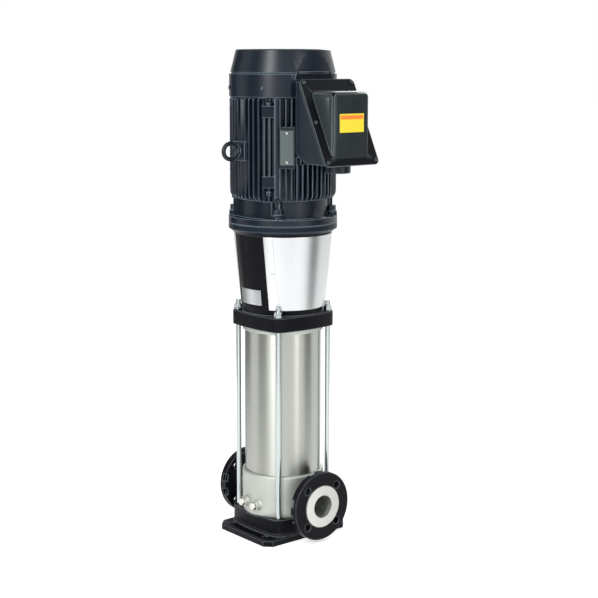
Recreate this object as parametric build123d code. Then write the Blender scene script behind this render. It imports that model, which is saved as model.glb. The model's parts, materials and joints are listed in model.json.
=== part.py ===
from build123d import *
import os
from math import cos, radians, sin, sqrt

os.makedirs("parts", exist_ok=True)

# Vertical in-line multistage pump with a flange-mounted motor.
# Millimetres; the shaft axis is Z, the floor is z = 0, and the discharge port looks along +X.

# Driving dimensions
slip = 0.02               # keyed or splined fit on a shaft
running = 0.3             # gap between pieces that turn past each other
seat_gap = 0.1            # clearance of a bolt in its hole, or of a lid in its rim
port_height = 90.0
port_reach = 150.0        # shaft axis to a port face
bore_radius = 27.25
neck_wall = 3.75
collar_radius = 50.0
collar_thickness = 6.0
collar_step = 3.0         # how far the raised face stands proud of its loose flange
flange_radius = 82.5
flange_thickness = 19.0
flange_pitch_radius = 62.5
flange_hole_radius = 9.0
notch_width = 18.0
notch_depth = 8.0
notch_step = 13.0

base_length_x = 196.0
base_length_y = 254.0
base_thickness = 16.0
base_corner = 17.0
base_bevel = 3.0
base_hole_radius = 7.0
base_pitch_x = 130.0
base_pitch_y = 215.0
pedestal_top = 52.0
pedestal_corner = 119.5
pedestal_facet = 14.0
pedestal_bulge = 98.0
pad_rise = 4.0
pocket_size = 57.0
pocket_rib = 10.0
pocket_depth = 38.0

casing_radius = 98.5
casing_wall = 3.0
casing_floor = 4.0
casing_top = 156.0
casing_edge = 5.0
ledge_height = 10.0
ledge_width = 14.0
divider_x = 55.0
divider_top = 123.0
inlet_eye_radius = 30.0
drain_height = 82.0
drain_places = (24.0, -20.0)
drain_boss_radius = 12.0
drain_boss_reach = 106.0
plug_radius = 7.0
plug_flats = 17.0
plug_head = 8.0
plug_washer = 1.5

sleeve_radius = 92.0
sleeve_wall = 2.0
rod_place = 76.0
rod_radius = 6.0
rod_foot = 24.0
rod_proud = 11.0
rod_washer_radius = 11.0
rod_washer = 2.5
rod_nut_flats = 18.0
rod_nut = 10.0

stage_count = 8
stage_height = 45.0
chamber_radius = 78.0
chamber_wall = 2.0
chamber_floor = 4.0
eye_radius = 26.0
vane_count = 8
impeller_radius = 67.0
impeller_blades = 6
blade_thickness = 2.4
hub_radius = 13.0
shaft_radius = 8.0
shaft_foot = 105.0
shaft_end = 648.0

stool_foot = 509.0
stool_flange = 35.0
head_skirt = 9.0
head_radius = sleeve_radius + 4.0
head_disc = 10.0
head_rise = 16.0
seal_radius = 20.0
stool_low_radius = 98.3
stool_low = 562.0
stool_high_radius = 113.6
stool_high = 732.0
stool_wall = 9.0
stool_top = 756.0
stool_throat = 60.0
top_flange_radius = 128.4
top_flange_edge = 13.0
window_x = 72.0
window_low = 568.0
window_high = 726.0
guard_x = 52.5
guard_sheet = 1.5
guard_low = 558.0
guard_high = 731.0
guard_swell = 1.2
guard_screw_radius = 3.0
plate_half = 35.0
plate_low = 568.0
plate_high = 604.0
plate_sheet = 0.8

motor_flange = 16.0
spigot_radius = 90.0
spigot = 6.0
shield_step = 0.3
shield_top = 813.0
flange_bolt_place = top_flange_radius - 13.4
flange_bolt_flats = 19.0
flange_bolt_head = 12.0
flange_boss_radius = 13.0
flange_boss = 10.0
bearing_radius = 45.0
bearing_width = 23.0
bearing_bore = 20.0
bearing_low = 777.0
fin_radius = 125.0
fin_height = 18.0
frame_skin_radius = fin_radius - fin_height
frame_bore = frame_skin_radius - 9.0
fin_count = 60
fin_thickness = 3.2
frame_top = 1047.0
lug_angle = 55.0
lug_width = 30.0
lug_height = 26.0
lug_low = 845.0
lug_high = 1004.0
lug_radius = fin_radius - 1.0
ear_set_back = 7.0
rib_angle = -45.0
rib_width = 9.0
short_fin_radius = fin_radius - 6.0
name_angle = -35.0
name_width = 30.0
name_low = 897.0
name_height = 78.0
name_pad_radius = fin_radius - 4.0
eye_height = 927.0
eye_boss = 5.0
eye_reach = fin_radius + 31.0
eye_ring = 17.5
eye_wire = 5.0
core_bore = 60.0
core_low = 870.0
core_high = 1000.0
winding_length = 28.0
air_gap = 0.6
shield_radius = frame_skin_radius - shield_step
motor_shaft_radius = 19.0

band_radius = fin_radius + 0.4
band_low = 1049.0
band_high = 1101.0
band_sheet = 2.0
band_screw_height = 1069.6
band_screw_angle = 61.0
canopy_low = 1104.0
canopy_high = 1156.4
canopy_low_radius = band_radius - 2.6
canopy_high_radius = canopy_low_radius - 13.2
canopy_edge = 4.0
canopy_facet = band_radius - 13.9
tongue_low = 1088.0
tongue_half = 57.0
fan_radius = band_radius - 30.4
fan_blades = 9
post_place = 80.0

box_back = canopy_facet + 4.5
box_half = 57.0
box_top = 1084.0
box_floor = 902.0
box_wall = 4.0
joint_top = (box_back + 34.0, 1088.0)
joint_foot = (box_back + 126.0, 900.0)
lid_width = 160.0
lid_sheet = 3.0
lid_corner = 12.0
rim_thickness = 4.0
gasket = 1.5
cover_half = 55.5
cover_front = box_back + 124.0
cover_top = 1064.0
cover_round = 13.0
box_screw_radius = 5.0
box_screw_head = 4.0
conduit_x = box_back + 77.0
conduit_radius = 30.0
conduit_bore = 20.0
conduit_drop = 20.0
label_half = 35.5
label_height = 41.0
label_middle = 995.0
thin_plate = 0.6

# Places that follow from them
UP = (Align.CENTER, Align.CENTER, Align.MIN)
collar_back = port_reach - collar_thickness
flange_face = port_reach - collar_step
neck_radius = bore_radius + neck_wall
ledge_top = casing_top - ledge_height
sleeve_foot = ledge_top
stool_deck = stool_foot + stool_flange
head_top = stool_foot + head_rise
sleeve_top = head_top - head_disc
stack_top = divider_top + stage_count * stage_height
core_length = core_high - core_low
bearing_places = (bearing_low, frame_top - 12.0)
beyond = 2 * band_radius         # outside every round body, for cutting boxes


def disc(radius, low, high, x=0.0, y=0.0):
    """Upright cylinder between two heights."""
    return Pos(x, y, low) * Cylinder(radius, high - low, align=UP)


def tube(outer, inner, low, high, x=0.0, y=0.0):
    return disc(outer, low, high, x, y) - disc(inner, low, high, x, y)


def block(low, high):
    """Box between two corners."""
    size = [b - a for a, b in zip(low, high)]
    middle = [(a + b) / 2 for a, b in zip(low, high)]
    return Pos(*middle) * Box(*size)


def turned(*corners):
    """Solid turned about Z from (radius, height) corners."""
    return revolve(Plane.XZ * Polygon(*corners, align=None), Axis.Z)


def hexagon(flats, height):
    """Hexagon bar on the local XY plane, with one flat square to local X."""
    return extrude(Rot(0, 0, 30) * RegularPolygon(flats / 2, 6, major_radius=False), height)


def along(start, direction):
    """Plane at a point, with its Z along a direction."""
    return Plane(origin=start, z_dir=direction)


def rod_along(start, direction, radius, length):
    return along(start, direction) * Cylinder(radius, length, align=UP)


def around(shape, angles):
    return [Rot(0, 0, angle) * shape for angle in angles]


def joined(shapes):
    """One solid out of overlapping shapes."""
    total = shapes[0]
    return total.fuse(*shapes[1:]) if len(shapes) > 1 else total


def save(name, *shapes):
    """Write one node: every solid of the given shapes."""
    solids = [solid for shape in shapes for solid in shape.solids()]
    export_step(solids[0] if len(solids) == 1 else Compound(solids), f"parts/{name}.step")


def bulged_square(corner, facet, bulge):
    """Square plan with arc sides and a flat across each corner."""
    far = (corner + facet / 2) / sqrt(2)
    near = (corner - facet / 2) / sqrt(2)
    side = ThreePointArc((far, -near), (bulge, 0), (far, near))
    flat = Line((far, near), (near, far))
    return make_face([Rot(0, 0, 90 * turn) * edge for turn in range(4) for edge in (side, flat)])


corners = (45, 135, 225, 315)
rod_circle = rod_place * sqrt(2)

# ---------------------------------------------------------------- hydraulic end


def base_plate():
    """Cast foot: plate, bulged pedestal, corner pads for the tie rods, ribbed pockets below."""
    plan = chamfer(Rectangle(base_length_x, base_length_y).vertices(), base_corner)
    plate = extrude(plan, base_thickness)
    plate = chamfer(plate.faces().sort_by(Axis.Z)[-1].edges(), base_bevel)
    outline = bulged_square(pedestal_corner, pedestal_facet, pedestal_bulge)
    pedestal = extrude(Pos(0, 0, base_thickness) * outline, pedestal_top + pad_rise - base_thickness)
    wide = bulged_square(pedestal_corner + base_bevel, pedestal_facet, pedestal_bulge + base_bevel)
    skirt = extrude(Pos(0, 0, base_thickness) * wide, base_bevel * 2)
    skirt = chamfer(skirt.faces().sort_by(Axis.Z)[-1].edges(), base_bevel)
    skirt &= block((-base_length_x / 2, -base_length_y / 2, 0),
                   (base_length_x / 2, base_length_y / 2, pedestal_top))
    body = plate + pedestal + skirt
    body -= disc(casing_radius + running, pedestal_top, pedestal_top + pad_rise)
    pocket = Pos(0, 0, -1) * extrude(
        fillet(Rectangle(pocket_size, pocket_size).vertices(), pocket_rib), pocket_depth + 1)
    inset = (pocket_rib + pocket_size) / 2
    for x in (-inset, inset):
        for y in (-inset, inset):
            body -= Pos(x, y, 0) * pocket
    for x in (-base_pitch_x / 2, base_pitch_x / 2):
        for y in (-base_pitch_y / 2, base_pitch_y / 2):
            body -= disc(base_hole_radius, 0, base_thickness, x, y)
    for x in (-rod_place, rod_place):
        for y in (-rod_place, rod_place):
            body -= disc(rod_radius + seat_gap, rod_foot, pedestal_top + pad_rise, x, y)
    return body


def inlet_outlet_casing():
    """Stainless casing with both ports, its sleeve ledge, the flow divider and the drain bosses."""
    body = disc(casing_radius, pedestal_top, casing_top)
    body = fillet(body.edges().filter_by(GeomType.CIRCLE), casing_edge)
    for side in (-1, 1):
        body += rod_along((0, 0, port_height), (side, 0, 0), neck_radius, port_reach)
        body += rod_along((side * collar_back, 0, port_height), (side, 0, 0), collar_radius, collar_thickness)
    for x in drain_places:
        body += rod_along((x, 0, drain_height), (0, -1, 0), drain_boss_radius, drain_boss_reach)
    inner = casing_radius - casing_wall
    floor = pedestal_top + casing_floor
    rim = sleeve_radius + running
    body -= turned((0, floor), (inner, floor), (inner, ledge_top - ledge_height),
                   (casing_radius - ledge_width, ledge_top - ledge_height),
                   (casing_radius - ledge_width, ledge_top), (rim, ledge_top), (rim, casing_top), (0, casing_top))
    for side in (-1, 1):
        body -= rod_along((side * (inner - ledge_width), 0, port_height), (side, 0, 0), bore_radius, port_reach)
    wall = block((divider_x, -inner, floor), (divider_x + casing_wall, inner, divider_top))
    deck = block((-inner, -inner, divider_top - casing_wall), (divider_x + casing_wall, inner, divider_top))
    divider = (wall + deck) & disc(inner + casing_wall / 2, floor - casing_floor / 2, divider_top)
    body += divider - disc(inlet_eye_radius, floor, divider_top)
    for x in drain_places:
        body -= rod_along((x, -inner + ledge_width, drain_height), (0, -1, 0), plug_radius + seat_gap, ledge_width * 3)
    return body


def drain_plug(x):
    start = (x, -drain_boss_reach - plug_washer, drain_height)
    head = along(start, (0, -1, 0)) * hexagon(plug_flats, plug_head)
    head = chamfer(head.faces().sort_by(Axis.Y)[0].edges(), 1.0)
    return head + rod_along(start, (0, 1, 0), plug_radius, drain_boss_reach + plug_washer - casing_radius + ledge_width / 2)


def drain_washer(x):
    start = (x, -drain_boss_reach, drain_height)
    ring = rod_along(start, (0, -1, 0), plug_flats / 2 + 2, plug_washer)
    return ring - rod_along(start, (0, -1, 0), plug_radius + seat_gap, plug_washer)


def loose_flange(side):
    """Ring flange that turns behind the raised face, with four bolt holes and notches in its rim."""
    back = flange_face - flange_thickness
    plane = along((side * back, 0, port_height), (side, 0, 0))
    ring = Cylinder(flange_radius, flange_thickness, align=UP)
    ring = chamfer(ring.edges().filter_by(GeomType.CIRCLE), 1.5)
    ring -= Cylinder(neck_radius + running, flange_thickness, align=UP)
    recess = flange_face - collar_back + running
    ring -= Pos(0, 0, flange_thickness - recess) * Cylinder(collar_radius + running, recess, align=UP)
    for angle in corners:
        ring -= Rot(0, 0, angle) * Pos(flange_pitch_radius, 0, 0) * Cylinder(
            flange_hole_radius, flange_thickness, align=UP)
    notch = Pos(flange_radius, 0, 0) * Box(notch_depth * 2, notch_width, flange_thickness / 2, align=UP)
    for angle in corners:
        for step in (45 - notch_step, 45 + notch_step):
            ring -= Rot(0, 0, angle + step) * notch
    return plane * ring


def stage_chamber(number):
    """One diffuser cup: floor with an eye, wall and guide vanes round the impeller."""
    low = divider_top + number * stage_height
    cup = turned((eye_radius, 0), (chamber_radius, 0), (chamber_radius, stage_height),
                 (chamber_radius - chamber_wall, stage_height), (chamber_radius - chamber_wall, chamber_floor),
                 (eye_radius, chamber_floor))
    reach = chamber_radius - impeller_radius - chamber_wall / 2 - 2
    vane = Pos(chamber_radius - chamber_wall / 2, 0, chamber_floor / 2) * Box(
        reach, chamber_wall, stage_height * 0.6, align=(Align.MAX, Align.CENTER, Align.MIN))
    return Pos(0, 0, low) * joined([cup] + around(vane, [360 / vane_count * turn for turn in range(vane_count)]))


def impeller(number):
    """Closed impeller: hub, two shrouds, an eye skirt and swept blades."""
    low = divider_top + number * stage_height
    first, last = chamber_floor + 4, chamber_floor + 22
    hub = disc(hub_radius, 1, stage_height + 1)
    lower = tube(impeller_radius, eye_radius - 3, first, first + 2)
    upper = disc(impeller_radius, last, last + 2)
    skirt = tube(eye_radius - 1, eye_radius - 3, 1.5, first + 1)
    sweep = ThreePointArc((eye_radius - 4, 0),
                          (45 * cos(radians(-20)), 45 * sin(radians(-20))),
                          ((impeller_radius - 2) * cos(radians(-50)), (impeller_radius - 2) * sin(radians(-50))))
    blade = Pos(0, 0, first + 1) * extrude(trace(sweep, blade_thickness), last - first)
    blades = around(blade, [360 / impeller_blades * turn for turn in range(impeller_blades)])
    spokes = around(block((hub_radius - 1, -1.2, last - 8), (eye_radius, 1.2, last + 1)),
                    [360 / impeller_blades * turn for turn in range(impeller_blades)])
    body = joined([hub, lower, upper, skirt] + blades + spokes)
    return Pos(0, 0, low) * (body - disc(shaft_radius + slip, 0, stage_height + 2))


def bottom_bearing():
    """Three-armed spider in the inlet eye that carries the foot of the pump shaft."""
    low = divider_top - 8
    ring = tube(inlet_eye_radius - seat_gap, inlet_eye_radius - 3, low, divider_top)
    hub = disc(hub_radius + 1, low, divider_top)
    arm = block((hub_radius, -2.5, low), (inlet_eye_radius - 2, 2.5, divider_top - 1))
    return joined([ring, hub] + around(arm, (0, 120, 240))) - disc(shaft_radius + 0.05, low, divider_top)


def clamp_ring():
    """Windowed ring that presses the stage stack down from the pump head."""
    ring = tube(chamber_radius, chamber_radius - 6, stack_top, sleeve_top)
    window = block((chamber_radius - 12, -15, stack_top + 8), (chamber_radius + 6, 15, sleeve_top - 8))
    for turn in range(6):
        ring -= Rot(0, 0, 60 * turn) * window
    return ring


def pump_head():
    """Stainless head: disc, skirt over the sleeve, and the bored boss for the shaft seal."""
    skirt = sleeve_radius + running
    low = stool_foot - head_skirt
    boss = seal_radius + 10
    seat = head_top + 11
    bore = shaft_radius + 2
    deep = seal_radius + seat_gap
    return turned((bore, sleeve_top), (skirt, sleeve_top), (skirt, low), (head_radius, low),
                  (head_radius, head_top), (boss, head_top), (boss, seat + 12), (deep, seat + 12),
                  (deep, seat), (bore, seat))


def tie_rods():
    top = stool_deck + rod_washer + rod_nut + rod_proud
    rods, washers, nuts = [], [], []
    for angle in corners:
        place = Rot(0, 0, angle) * Pos(rod_circle, 0, 0)
        rod = Cylinder(rod_radius, top - rod_foot, align=UP)
        rod = chamfer(rod.edges().filter_by(GeomType.CIRCLE), 1.0)
        rods.append(place * Pos(0, 0, rod_foot) * rod)
        washers.append(place * tube(rod_washer_radius, rod_radius + seat_gap, stool_deck, stool_deck + rod_washer))
        nut = hexagon(rod_nut_flats, rod_nut) & Cylinder(rod_nut_flats * 0.56, rod_nut, align=UP)
        nut = nut - Cylinder(rod_radius + seat_gap, rod_nut, align=UP)
        nuts.append(place * Pos(0, 0, stool_deck + rod_washer) * nut)
    return rods, washers, nuts


# ---------------------------------------------------------------- stool, guards and coupling


def cone_skin(inner, outer, low, high):
    """Sheet that follows the stool's taper, between two offsets from its skin."""
    slope = (stool_high_radius - stool_low_radius) / (stool_high - stool_low)
    at_low = stool_low_radius + slope * (low - stool_low)
    at_high = stool_low_radius + slope * (high - stool_low)
    return turned((at_low + inner, low), (at_low + outer, low), (at_high + outer, high), (at_high + inner, high))


def motor_stool():
    """Cast lantern: bulged foot flange, two tapered columns with windows between, round top flange."""
    outline = bulged_square(pedestal_corner, pedestal_facet, pedestal_bulge)
    foot = extrude(Pos(0, 0, stool_foot) * outline, stool_flange)
    foot = chamfer(foot.faces().sort_by(Axis.Z)[-1].edges(), 2.0)
    throat = stool_high_radius - stool_wall
    barrel = turned((stool_throat, stool_deck - 8), (stool_low_radius - 3.5, stool_deck - 8),
                    (stool_low_radius - 3.5, stool_deck), (stool_low_radius, stool_low),
                    (stool_high_radius, stool_high), (top_flange_radius, stool_top - top_flange_edge),
                    (top_flange_radius, stool_top), (spigot_radius + running, stool_top),
                    (spigot_radius + running, stool_top - 12), (throat, stool_high),
                    (stool_low_radius - stool_wall, stool_low), (stool_throat, stool_deck + 4))
    body = foot + barrel
    body -= disc(head_radius + running, stool_foot, head_top)
    body -= disc(stool_throat, head_top, stool_deck)
    for side in (-1, 1):
        near, far = sorted((side * window_x, side * top_flange_radius))
        body -= block((near, -top_flange_radius, window_low), (far, top_flange_radius, window_high))
    for angle in corners:
        body -= Rot(0, 0, angle) * disc(rod_radius + seat_gap, stool_foot, stool_deck, rod_circle)
        body -= Rot(0, 0, angle) * disc(rod_radius, stool_top - 14, stool_top, flange_bolt_place)
    for screw in guard_screws(seat_gap):
        body -= screw
    return body


def guard(side):
    """Tapered sheet guard over one window: flat side strips and a panel that stands slightly out."""
    strips = cone_skin(seat_gap, guard_sheet, guard_low, guard_high)
    near, far = sorted((side * guard_x, side * beyond))
    strips &= block((near, -beyond, guard_low), (far, beyond, guard_high))
    panel = cone_skin(guard_swell, guard_swell + guard_sheet, guard_low, guard_high)
    near, far = sorted((side * window_x, side * beyond))
    sheet = strips + (panel & block((near, -beyond, guard_low), (far, beyond, guard_high)))
    for screw in guard_screws(seat_gap):
        sheet -= screw
    return sheet


def guard_screws(clearance=0.0):
    """Screws in the middle of each side strip; with a clearance they are the holes for their shanks."""
    middle = (guard_low + guard_high) / 2
    screws = []
    for angle in (52, 128, 232, 308):
        way = (cos(radians(angle)), sin(radians(angle)), 0)
        skin = 106.8
        shank = rod_along((skin * way[0] - 6 * way[0], skin * way[1] - 6 * way[1], middle), way,
                          guard_screw_radius - 1 + clearance, 6 + guard_sheet + 1)
        if clearance:
            screws.append(shank)
        else:
            start = (skin + guard_sheet + 0.3)
            head = rod_along((start * way[0], start * way[1], middle), way, guard_screw_radius + 1, 2)
            screws.append(shank + head)
    return screws


def stool_plate():
    """Blank plate riveted low on the near column."""
    sheet = cone_skin(seat_gap, plate_sheet, plate_low, plate_high)
    return sheet & block((-plate_half, -beyond, plate_low), (plate_half, 0, plate_high))


def coupling():
    """Split clamp coupling on the two shaft ends, and its four cap screws."""
    low, high, radius = 590.0, 690.0, 34.0
    shell = disc(radius, low, high)
    shell -= disc(shaft_radius + slip, low, shaft_end + 1)
    shell -= disc(motor_shaft_radius + slip, shaft_end + 1, high)
    shell -= block((-radius, -1, low), (radius, 1, high))
    screws = []
    for x in (-26, 26):
        for z in (low + 18, high - 18):
            hole = rod_along((x, -radius, z), (0, 1, 0), 4 + seat_gap, 2 * radius)
            shell -= hole
            shell -= rod_along((x, 14, z), (0, 1, 0), 7 + seat_gap, radius)
            shank = rod_along((x, -14, z), (0, 1, 0), 4, 28)
            screws.append(shank + rod_along((x, 14, z), (0, 1, 0), 7, 7))
    return shell, screws


# ---------------------------------------------------------------- motor


def drive_end_shield():
    """Motor flange, spigot, bearing housing and the bosses under the flange bolts."""
    low = stool_top
    flange_high = stool_top + motor_flange
    hole = motor_shaft_radius + 2
    housing = bearing_radius + 8
    body = turned((hole, low - spigot), (spigot_radius, low - spigot), (spigot_radius, low),
                  (top_flange_radius, low), (top_flange_radius, flange_high), (shield_radius, flange_high),
                  (shield_radius, shield_top), (frame_bore, shield_top), (frame_bore, bearing_low + 4),
                  (housing, bearing_low + 4), (housing, bearing_low + bearing_width),
                  (bearing_radius, bearing_low + bearing_width), (bearing_radius, bearing_low), (hole, bearing_low))
    groove = tube(top_flange_radius + 1, top_flange_radius - 1, low, low + 1.2)
    body -= groove
    cavity = disc(frame_bore, bearing_low + 4, shield_top)
    for angle in (lug_angle, 180 - lug_angle, 180 + lug_angle, -lug_angle):
        ear = block((frame_bore + 2, -lug_width / 2, flange_high - 1),
                    (lug_radius - ear_set_back, lug_width / 2, shield_top))
        body += Rot(0, 0, angle) * ear - cavity
    for angle in corners:
        body += Rot(0, 0, angle) * disc(flange_boss_radius, flange_high - 1, flange_high + flange_boss,
                                        flange_bolt_place)
        body -= Rot(0, 0, angle) * disc(rod_radius, low, flange_high + flange_boss, flange_bolt_place)
        body -= Rot(0, 0, angle) * disc(flange_boss_radius + running, flange_high + flange_boss, shield_top,
                                        flange_bolt_place)
    return body


def motor_flange_bolts():
    seat = stool_top + motor_flange + flange_boss
    bolts = []
    for angle in corners:
        head = hexagon(flange_bolt_flats, flange_bolt_head)
        head = head & Cylinder(flange_bolt_flats * 0.56, flange_bolt_head, align=UP)
        washer = Cylinder(flange_bolt_flats * 0.6, 2, align=UP)
        shank = disc(rod_radius - seat_gap, -seat + stool_top - 12, 1)
        bolts.append(Rot(0, 0, angle) * Pos(flange_bolt_place, 0, seat) * (shank + washer + Pos(0, 0, 2) * head))
    return bolts


def stator_frame():
    """Finned frame: radial fins, shield lugs, nameplate pad, eye-bolt bosses and the box saddle."""
    fin = Pos((frame_skin_radius + fin_radius) / 2 - 1, 0) * Rectangle(
        fin_radius - frame_skin_radius + 2, fin_thickness)
    section = Sketch() + [Circle(frame_skin_radius)] + around(
        fin, [360 / fin_count * turn for turn in range(fin_count)])
    body = extrude(Pos(0, 0, shield_top) * section, frame_top - shield_top)
    ends = turned((0, shield_top), (frame_skin_radius, shield_top), (fin_radius - 6, shield_top + 4),
                  (fin_radius - 1.5, shield_top + 9), (fin_radius, shield_top + 16), (fin_radius, frame_top - 4),
                  (fin_radius - 3, frame_top), (0, frame_top))
    body &= ends
    body -= block((frame_bore + 10, -box_half - 1, box_floor - 4), (fin_radius + 1, box_half + 1, frame_top))
    half = lug_width / 2
    for angle in (lug_angle, 180 - lug_angle, 180 + lug_angle, -lug_angle):
        turn = Rot(0, 0, angle)
        body -= turn * block((short_fin_radius, -half, lug_low), (fin_radius + 2, half, lug_high + lug_height))
        body -= turn * block((frame_skin_radius, -half, shield_top), (fin_radius + 2, half, lug_low))
        body -= turn * block((frame_skin_radius, -half, lug_high + lug_height), (fin_radius + 2, half, frame_top))
        for low in (lug_low, lug_high):
            body += turn * block((frame_bore + 3, -half, low), (lug_radius, half, low + lug_height))
    pad_half = name_width / 2 + 3
    turn = Rot(0, 0, name_angle)
    body -= turn * block((name_pad_radius, -pad_half, name_low - 8),
                         (fin_radius + 2, pad_half, name_low + name_height + 8))
    body += turn * block((frame_bore + 3, -pad_half, name_low - 8),
                         (name_pad_radius, pad_half, name_low + name_height + 8))
    body += Rot(0, 0, rib_angle) * block((frame_bore + 3, -rib_width / 2, shield_top + 10),
                                         (lug_radius, rib_width / 2, frame_top))
    for side in (-1, 1):
        near, far = sorted((side * (frame_bore + 3), side * (fin_radius + eye_boss)))
        body += block((-20, near, eye_height - 22), (20, far, eye_height + 22))
        body -= rod_along((0, side * (fin_radius + eye_boss), eye_height), (0, -side, 0), 6 + seat_gap, 18)
    body += block((frame_bore + 3, -50, box_floor + 12), (box_back, 50, frame_top))
    return body - disc(frame_bore, shield_top, frame_top)


def shield_screws():
    """Hexagon screws that draw the two end shields onto the frame lugs."""
    screws = []
    for angle in (lug_angle, 180 - lug_angle, 180 + lug_angle, -lug_angle):
        place = Rot(0, 0, angle) * Pos((frame_skin_radius + lug_radius) / 2 + 1, 0, 0)
        screws.append(place * Pos(0, 0, lug_high + lug_height) * hexagon(13, 7))
        stem = disc(4, shield_top, lug_low) + Pos(0, 0, lug_low - 16) * hexagon(13, 7)
        screws.append(place * stem)
    return screws


def eye_bolt(side):
    """Lifting eye: ring, collar and shank, screwed into its frame boss."""
    seat = fin_radius + eye_boss
    centre = (0, side * eye_reach, eye_height)
    ring = Plane(origin=centre, z_dir=(1, 0, 0)) * Torus(eye_ring, eye_wire)
    collar = rod_along((0, side * seat, eye_height), (0, side, 0), 13, 5)
    neck = rod_along((0, side * (seat - 16), eye_height), (0, side, 0), 6, eye_reach - seat - eye_ring + 16)
    return ring + collar + neck


def fan_end_shield():
    """End shield with the upper bearing housing and four arms that carry the cowl."""
    low = frame_top
    seat = bearing_places[1]
    housing = bearing_radius + 6
    disc_top = low + 8
    body = turned((motor_shaft_radius - 1, seat + bearing_width), (motor_shaft_radius - 1, seat + bearing_width + 4),
                  (housing, seat + bearing_width + 4), (housing, disc_top), (frame_skin_radius, disc_top),
                  (frame_skin_radius, low), (housing, low), (housing, seat), (bearing_radius, seat),
                  (bearing_radius, seat + bearing_width))
    reach = band_radius - band_sheet - seat_gap
    arm = block((fan_radius + 4, -8, low), (reach + 2, 8, band_screw_height + 8)) & disc(reach, low, band_high)
    for angle in band_screw_angles:
        body += Rot(0, 0, angle) * arm
        body -= Rot(0, 0, angle) * rod_along((reach - 12, 0, band_screw_height), (1, 0, 0), 2.5 + seat_gap, 14)
    return body


band_screw_angles = (band_screw_angle, 180 - band_screw_angle, 180 + band_screw_angle, -band_screw_angle)


def cowl_screws():
    screw = rod_along((band_radius - 12, 0, band_screw_height), (1, 0, 0), 2.5, 13)
    screw += rod_along((band_radius, 0, band_screw_height), (1, 0, 0), 5, 2.5)
    return around(screw, band_screw_angles)


def fan_cowl():
    """Pressed cowl: round band with one flat behind the terminal box and a slotted top."""
    flat = canopy_facet - band_sheet - running
    outer = disc(band_radius, band_low, band_high) & block((-beyond, -beyond, band_low), (flat, beyond, band_high))
    inner = disc(band_radius - band_sheet, band_low, band_high - band_sheet) & block(
        (-beyond, -beyond, band_low), (flat - band_sheet, beyond, band_high))
    body = outer - inner
    slot = block((34, -2.5, band_high - band_sheet), (70, 2.5, band_high))
    for turn in range(24):
        body -= Rot(0, 0, 15 * turn) * slot
    for angle in band_screw_angles:
        body -= Rot(0, 0, angle) * rod_along((band_radius - 4, 0, band_screw_height), (1, 0, 0), 2.5 + seat_gap, 8)
    return body


def rain_canopy():
    """Tapered rain canopy with a flat side whose tongue hangs over the cowl's flat."""
    sheet = band_sheet
    solid = turned((0, canopy_low), (canopy_low_radius, canopy_low), (canopy_high_radius, canopy_high),
                   (0, canopy_high))
    solid = fillet(solid.edges().sort_by(Axis.Z)[-1], canopy_edge)
    hollow = turned((0, canopy_low), (canopy_low_radius - sheet, canopy_low),
                    (canopy_high_radius - sheet, canopy_high - sheet), (0, canopy_high - sheet))
    keep = block((-beyond, -beyond, canopy_low), (canopy_facet, beyond, canopy_high))
    inside = block((-beyond, -beyond, canopy_low), (canopy_facet - sheet, beyond, canopy_high))
    chord = sqrt(canopy_low_radius ** 2 - canopy_facet ** 2)
    tongue = Plane.YZ.offset(canopy_facet - sheet) * Polygon(
        (-tongue_half, tongue_low), (tongue_half, tongue_low), (chord, canopy_low + 1), (-chord, canopy_low + 1),
        align=None)
    return (solid & keep) - (hollow & inside) + extrude(tongue, sheet)


def cooling_fan():
    """Radial fan: hub, back plate and straight blades."""
    low = bearing_places[1] + bearing_width + 6
    blades = around(block((20, -1.5, low + 1), (fan_radius, 1.5, band_high - 6)),
                    [360 / fan_blades * turn for turn in range(fan_blades)])
    body = joined([disc(26, low, band_high - 8), disc(62, low, low + 3)] + blades)
    return body - disc(15 + slip, low, band_high)


def motor_shaft():
    """Stepped shaft from the coupling up through both bearings to the fan."""
    seat = bearing_bore - slip
    upper = bearing_places[1]
    return turned((0, shaft_end + 2), (motor_shaft_radius, shaft_end + 2), (motor_shaft_radius, bearing_low - 1),
                  (seat, bearing_low - 1), (seat, bearing_low + bearing_width), (26, bearing_low + bearing_width),
                  (26, upper), (seat, upper), (seat, upper + bearing_width), (15, upper + bearing_width),
                  (15, band_high - 6), (0, band_high - 6))


def bearing(low, part):
    """Sealed ball bearing, as its outer ring with the shields or its inner ring."""
    split = (bearing_bore + bearing_radius) / 2 - 4
    if part == "outer":
        return tube(bearing_radius - seat_gap, split + running, low, low + bearing_width)
    return tube(split, bearing_bore, low, low + bearing_width)


# ---------------------------------------------------------------- terminal box

run = (joint_foot[0] - joint_top[0], joint_foot[1] - joint_top[1])
joint_length = sqrt(run[0] ** 2 + run[1] ** 2)
joint_normal = (-run[1] / joint_length, 0, run[0] / joint_length)
joint_middle = ((joint_top[0] + joint_foot[0]) / 2, 0, (joint_top[1] + joint_foot[1]) / 2)
lid = Plane(origin=joint_middle, x_dir=(0, 1, 0), z_dir=joint_normal)


def prism(half, *corners_xz):
    """Bar across the box, from corners given as (x, z)."""
    return extrude(Plane.XZ * Polygon(*corners_xz, align=None), half, both=True)


def lid_sheet_at(low, thickness, margin=0.0):
    plan = fillet(Rectangle(lid_width - margin, joint_length - margin).vertices(), lid_corner)
    return lid * Pos(0, 0, low) * extrude(plan, thickness)


def box_screw_places():
    x = lid_width / 2 - 9
    y = joint_length / 2 - 9
    return [(sx * x, sy * y) for sx in (-1, 1) for sy in (-1, 0, 1)]


def screw_holes(low, high):
    return [lid * Pos(x, y, low) * Cylinder(2.5 + seat_gap, high - low, align=UP) for x, y in box_screw_places()]


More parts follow.
